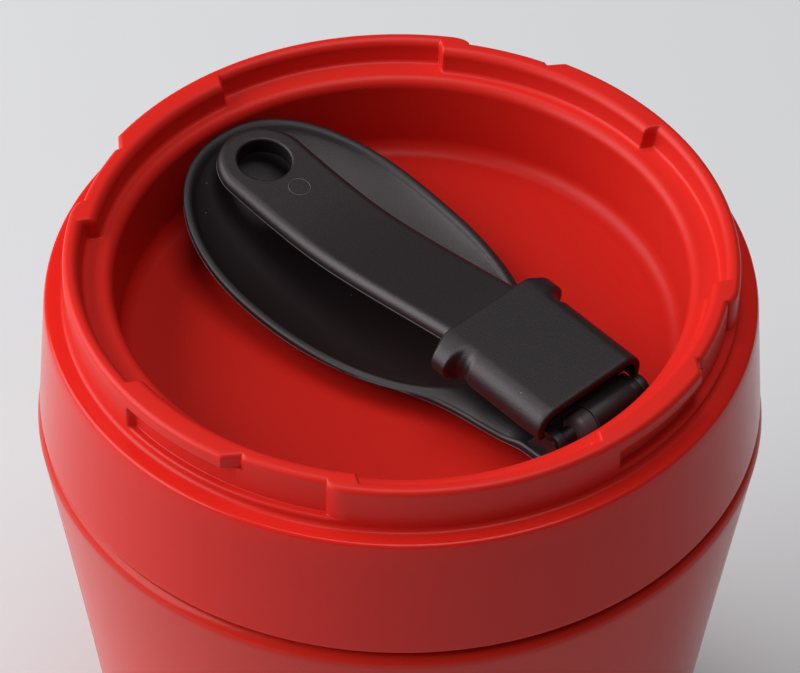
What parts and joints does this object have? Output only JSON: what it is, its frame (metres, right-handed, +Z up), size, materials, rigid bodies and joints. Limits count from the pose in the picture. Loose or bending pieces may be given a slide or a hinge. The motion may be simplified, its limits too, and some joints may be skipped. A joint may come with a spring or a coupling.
{
  "type": "insulated food jar",
  "caption": "Vacuum insulated food jar with a screw lid whose bayonet collar takes an outer cover, and a folding spoon with a sliding lock sleeve stowed in the lid's well.",
  "frame": {"origin": "centre of the jar's foot, on the surface it stands on", "axes": "+Z up along the jar's axis; the folded spoon's tip points 134.2 degrees from +X towards +Y"},
  "size_m": [0.1058, 0.1058, 0.1173],
  "materials": {
    "red_paint": "gloss enamel, slightly softer than the lid",
    "red_gloss_plastic": "glossy moulded",
    "red_matte_plastic": "matte moulded",
    "steel": "brushed stainless steel",
    "solder": "dull cast metal",
    "foil": "bright foil",
    "getter_metal": "sintered metal",
    "foam": "closed-cell foam",
    "liner_plastic": "satin moulded",
    "silicone": "matte silicone rubber",
    "dark_plastic": "fine matte texture"
  },
  "bodies": {
    "jar": {"outer_shell": "red_paint", "outer_bottom": "steel", "evacuation_seal": "solder", "base_cover": "red_matte_plastic", "inner_vessel": "steel", "foil_wrap": "foil", "getter": "getter_metal"},
    "lid": {"lid_shell": "red_gloss_plastic", "lid_foam": "foam", "lid_liner": "liner_plastic", "lid_gasket": "silicone"},
    "spoon": {"spoon_bowl": "dark_plastic", "hinge_pin": "dark_plastic"},
    "handle": {"spoon_handle": "dark_plastic"},
    "sleeve": {"lock_sleeve": "dark_plastic"}
  },
  "joints": [
    {"name": "lid_lift", "type": "slide", "parent": "jar", "child": "lid", "axis": [0, 0, 1], "range_m": [0, 0.12]},
    {"name": "spoon_lift", "type": "slide", "parent": "lid", "child": "spoon", "axis": [0, 0, 1], "range_m": [0, 0.1]},
    {"name": "handle_fold", "type": "hinge", "parent": "spoon", "child": "handle", "pos_m": [0.02655, -0.02468, 0.1084], "axis": [0.7169, 0.6972, 0], "range_deg": [0, 180]},
    {"name": "sleeve_slide", "type": "slide", "parent": "handle", "child": "sleeve", "axis": [-0.6958, 0.7155, 0.0628], "range_m": [0, 0.004]}
  ],
  "couplings": [
    {"joint": "handle_fold", "follows": "spoon_lift", "rad_per_m": 31.416}
  ]
}
